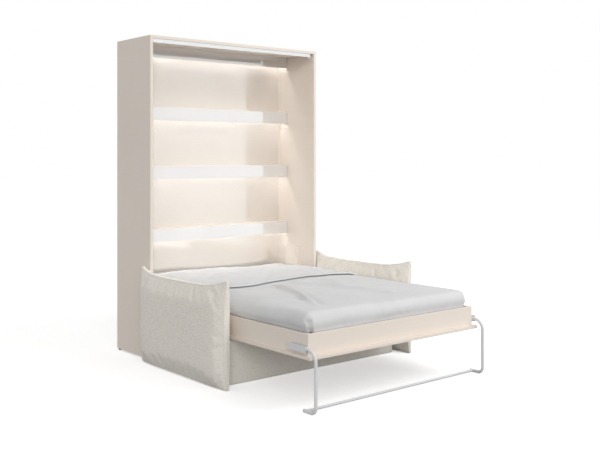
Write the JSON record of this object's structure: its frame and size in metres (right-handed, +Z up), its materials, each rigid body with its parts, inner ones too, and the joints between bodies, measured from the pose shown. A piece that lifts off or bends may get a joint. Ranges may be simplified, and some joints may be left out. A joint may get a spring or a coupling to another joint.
{
  "type": "murphy wall bed",
  "caption": "Wall bed in an open lit-shelf cabinet: the bed swings down over a sofa base with pillow arms and stands on a folding tube leg.",
  "frame": {"origin": "centre of the whole footprint, on the floor, with the bed lowered", "axes": "+Z up, +Y towards the wall, +X to the right as seen from the foot of the bed"},
  "size_m": [1.736, 2.242, 2.31],
  "materials": {
    "cashmere_board": "cashmere laminate, fine emboss",
    "gloss_back": "cashmere high-gloss lacquer",
    "gloss_fascia": "white high gloss",
    "led_aluminium": "anodised",
    "led_opal": "opal, lit warm white",
    "closing_aluminium": "satin anodised",
    "white_plastic": "moulded",
    "cover_plastic": "cashmere, moulded",
    "zinc_steel": "zinc plated",
    "bush_brass": "sintered bronze",
    "strut_black": "black, semi-gloss",
    "strut_chrome": "hard chromed",
    "leg_paint": "light grey powder coat",
    "black_plastic": "moulded",
    "birch": "laminated birch, clear lacquer",
    "ticking": "quilted knit",
    "bed_linen": "cotton percale, light grey-white",
    "boucle": "cream boucle",
    "sofa_timber": "plain softwood"
  },
  "bodies": {
    "root": {"arm_cores": "sofa_timber", "arm_left": "boucle", "arm_right": "boucle", "back_panel": "gloss_back", "base_board": "cashmere_board", "cabinet_glides": "black_plastic", "closing_brackets": "white_plastic", "closing_profile": "closing_aluminium", "floor_board": "cashmere_board", "led_diffusers": "led_opal", "led_driver": "white_plastic", "led_profiles": "led_aluminium", "mech_cover_left": "cover_plastic", "mech_cover_right": "cover_plastic", "mech_plate_left": "zinc_steel", "mech_plate_right": "zinc_steel", "mech_screws": "zinc_steel", "pivot_pins": "zinc_steel", "seat_frame": "sofa_timber", "seat_upholstery": "boucle", "shelf_board_2": "cashmere_board", "shelf_board_3": "cashmere_board", "shelf_board_4": "cashmere_board", "shelf_fascia_1": "gloss_fascia", "shelf_fascia_2": "gloss_fascia", "shelf_fascia_3": "gloss_fascia", "shelf_fascia_4": "gloss_fascia", "side_panel_left": "cashmere_board", "side_panel_right": "cashmere_board", "sofa_feet": "black_plastic", "strut_pins": "zinc_steel", "top_panel": "cashmere_board", "wall_brackets": "zinc_steel"},
    "bed": {"bed_panel": "cashmere_board", "side_rail_left": "cashmere_board", "side_rail_right": "cashmere_board", "foot_rail": "cashmere_board", "head_rail": "cashmere_board", "slat_ledges": "birch", "centre_beam": "birch", "corner_brackets": "zinc_steel", "slats": "birch", "slat_holders": "black_plastic", "hinge_arm_left": "zinc_steel", "hinge_arm_right": "zinc_steel", "pivot_bushes": "bush_brass", "mattress": "ticking", "duvet": "bed_linen", "duvet_fold": "bed_linen", "leg_bracket_left": "leg_paint", "leg_bracket_right": "leg_paint", "leg_pins": "zinc_steel"},
    "leg": {"leg_tube_left": "leg_paint", "leg_tube_right": "leg_paint", "leg_crossbar": "leg_paint", "leg_end_caps": "black_plastic"},
    "gas_cylinder_left": {"gas_cylinder_left": "strut_black"},
    "gas_rod_left": {"gas_rod_left": "strut_chrome"},
    "gas_cylinder_right": {"gas_cylinder_right": "strut_black"},
    "gas_rod_right": {"gas_rod_right": "strut_chrome"}
  },
  "joints": [
    {"name": "bed_tilt", "type": "hinge", "parent": "root", "child": "bed", "pos_m": [0, 0.759, 0.427], "axis": [-1, 0, 0], "range_deg": [0, 90]},
    {"name": "leg_swing", "type": "hinge", "parent": "bed", "child": "leg", "pos_m": [0, -1.023, 0.358], "axis": [-1, 0, 0], "range_deg": [0, 210]},
    {"name": "strut_left_swing", "type": "hinge", "parent": "root", "child": "gas_cylinder_left", "pos_m": [-0.738, 0.931, 0.65], "axis": [-1, 0, 0], "range_deg": [0, 14.06]},
    {"name": "strut_left_slide", "type": "slide", "parent": "gas_cylinder_left", "child": "gas_rod_left", "axis": [0, -0.2571, -0.9664], "range_m": [0, 0.13888]},
    {"name": "strut_right_swing", "type": "hinge", "parent": "root", "child": "gas_cylinder_right", "pos_m": [0.738, 0.931, 0.65], "axis": [-1, 0, 0], "range_deg": [0, 14.06]},
    {"name": "strut_right_slide", "type": "slide", "parent": "gas_cylinder_right", "child": "gas_rod_right", "axis": [0, -0.2571, -0.9664], "range_m": [0, 0.13888]}
  ],
  "couplings": [
    {"joint": "leg_swing", "follows": "bed_tilt", "ratio": 2.3333},
    {"joint": "strut_left_swing", "follows": "bed_tilt", "ratio": 0.15287},
    {"joint": "strut_left_slide", "follows": "bed_tilt", "m_per_rad": 0.088097},
    {"joint": "strut_right_swing", "follows": "bed_tilt", "ratio": 0.15287},
    {"joint": "strut_right_slide", "follows": "bed_tilt", "m_per_rad": 0.088097}
  ]
}
